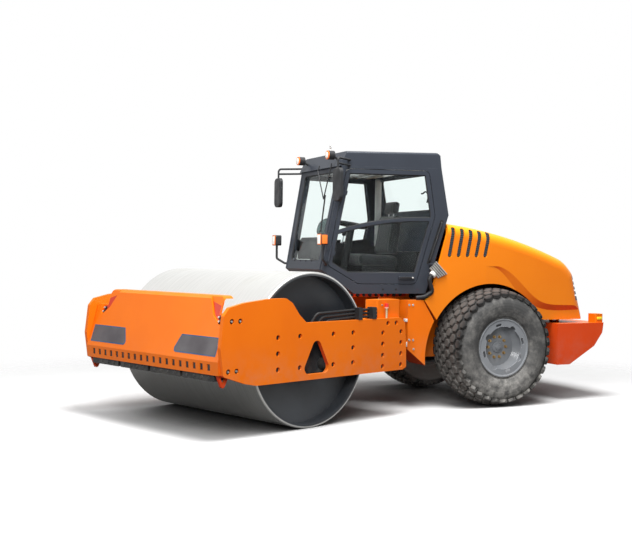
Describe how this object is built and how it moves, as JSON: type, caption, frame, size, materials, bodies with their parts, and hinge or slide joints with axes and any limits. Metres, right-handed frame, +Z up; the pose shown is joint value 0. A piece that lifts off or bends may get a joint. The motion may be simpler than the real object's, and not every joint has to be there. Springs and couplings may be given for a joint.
{
  "type": "road roller",
  "caption": "Articulated single-drum road roller with smooth steel drum, drum frame, cab, hood and low-pressure rear tyres; steering, drum, wheels, hood and door move.",
  "frame": {"origin": "ground level under the middle of the parked machine's box", "axes": "+X forward along the rear frame and cab, +Y to the machine's left, +Z up"},
  "size_m": [6.3102, 3.2446, 2.985],
  "materials": {
    "orange_paint": "gloss orange paint",
    "red_paint": "gloss orange-red paint",
    "grey_paint": "satin dark grey paint",
    "cab_paint": "satin slate-grey paint",
    "drum_steel": "smooth rolled steel",
    "chrome_rod": "hard chrome",
    "black_rubber": "matt rubber",
    "tyre": "dusty rubber",
    "rim_paint": "silver-grey paint",
    "cast_engine": "painted casting",
    "black_plastic": "matt moulded plastic",
    "lamp_housing": "gloss plastic with clear lens",
    "amber_lens": "amber lens",
    "cab_glass": "clear safety glass",
    "seat_fabric": "woven seat cloth"
  },
  "bodies": {
    "rear_frame_and_cab": {"rear_frame": "orange_paint", "rear_axle": "grey_paint", "engine_block": "cast_engine", "bumper": "red_paint", "tail_lamps": "orange_paint", "fender_left": "orange_paint", "fender_right": "orange_paint", "cab_side_left": "cab_paint", "cab_side_right": "cab_paint", "right_glass": "cab_glass", "cab_floor": "cab_paint", "cab_front": "cab_paint", "windscreen": "cab_glass", "cab_rear": "cab_paint", "rear_glass": "cab_glass", "cab_roof": "cab_paint", "mirrors": "black_plastic", "roof_lamps": "lamp_housing", "signal_lamps": "amber_lens", "seat_base": "black_plastic", "operator_seat": "seat_fabric", "steering_column": "black_plastic", "side_console": "black_plastic"},
    "hitch": {"hitch": "grey_paint"},
    "front_frame": {"side_plate_left": "orange_paint", "side_plate_right": "orange_paint", "front_beam": "orange_paint", "cross_member": "orange_paint", "scrapers": "black_plastic", "lashing_loops": "orange_paint", "drum_carriers": "grey_paint", "rubber_buffers": "black_rubber", "drum_hoses": "black_rubber", "hose_clamps": "black_plastic", "marker_lamp": "amber_lens"},
    "drum": {"drum": "drum_steel"},
    "wheel_left": {"tyre_left": "tyre", "rim_left": "rim_paint"},
    "wheel_right": {"tyre_right": "tyre", "rim_right": "rim_paint"},
    "hood": {"hood": "orange_paint", "hood_louvres": "black_plastic", "rear_grille": "black_plastic"},
    "door": {"door_frame": "cab_paint", "door_glass": "cab_glass"},
    "barrel_left": {"cylinder_barrel_left": "grey_paint"},
    "rod_left": {"cylinder_rod_left": "chrome_rod"},
    "barrel_right": {"cylinder_barrel_right": "grey_paint"},
    "rod_right": {"cylinder_rod_right": "chrome_rod"}
  },
  "joints": [
    {"name": "steer", "type": "hinge", "parent": "rear_frame_and_cab", "child": "hitch", "pos_m": [0.0769, -0.47227, 0.8], "axis": [0, 0, 1], "range_deg": [-58, 18]},
    {"name": "frame_swing", "type": "hinge", "parent": "hitch", "child": "front_frame", "pos_m": [0.35881, -0.36967, 0.8], "axis": [0.9397, 0.342, 0], "range_deg": [-10, 10]},
    {"name": "drum_roll", "type": "hinge", "parent": "front_frame", "child": "drum", "pos_m": [1.57101, 0.07154, 0.8], "axis": [-0.342, 0.9397, 0], "continuous": true},
    {"name": "wheel_left_roll", "type": "hinge", "parent": "rear_frame_and_cab", "child": "wheel_left", "pos_m": [-1.5141, 0.37773, 0.7], "axis": [0, 1, 0], "continuous": true},
    {"name": "wheel_right_roll", "type": "hinge", "parent": "rear_frame_and_cab", "child": "wheel_right", "pos_m": [-1.5141, -1.32227, 0.7], "axis": [0, 1, 0], "continuous": true},
    {"name": "hood_lift", "type": "hinge", "parent": "rear_frame_and_cab", "child": "hood", "pos_m": [-2.8231, -0.47227, 0.985], "axis": [0, -1, 0], "range_deg": [0, 45]},
    {"name": "door_swing", "type": "hinge", "parent": "rear_frame_and_cab", "child": "door", "pos_m": [0.54148, 0.09469, 1.66], "axis": [0.1865, -0.0403, -0.9816], "range_deg": [0, 55]},
    {"name": "barrel_left_swing", "type": "hinge", "parent": "rear_frame_and_cab", "child": "barrel_left", "pos_m": [-0.6231, -0.22227, 0.8], "axis": [0, 0, 1], "range_deg": [-12.8, 4.32]},
    {"name": "rod_left_slide", "type": "slide", "parent": "barrel_left", "child": "rod_left", "axis": [0.9881, 0.1538, 0], "range_m": [-0.0983, 0.3123]},
    {"name": "barrel_right_swing", "type": "hinge", "parent": "rear_frame_and_cab", "child": "barrel_right", "pos_m": [-0.6231, -0.72227, 0.8], "axis": [0, 0, 1], "range_deg": [-12.8, 4.32]},
    {"name": "rod_right_slide", "type": "slide", "parent": "barrel_right", "child": "rod_right", "axis": [1, -0.0056, 0], "range_m": [-0.3123, 0.0983]}
  ],
  "couplings": [
    {"joint": "barrel_left_swing", "follows": "steer", "ratio": 0.212},
    {"joint": "rod_left_slide", "follows": "steer", "m_per_rad": -0.30653},
    {"joint": "barrel_right_swing", "follows": "steer", "ratio": 0.212},
    {"joint": "rod_right_slide", "follows": "steer", "m_per_rad": 0.30653}
  ]
}
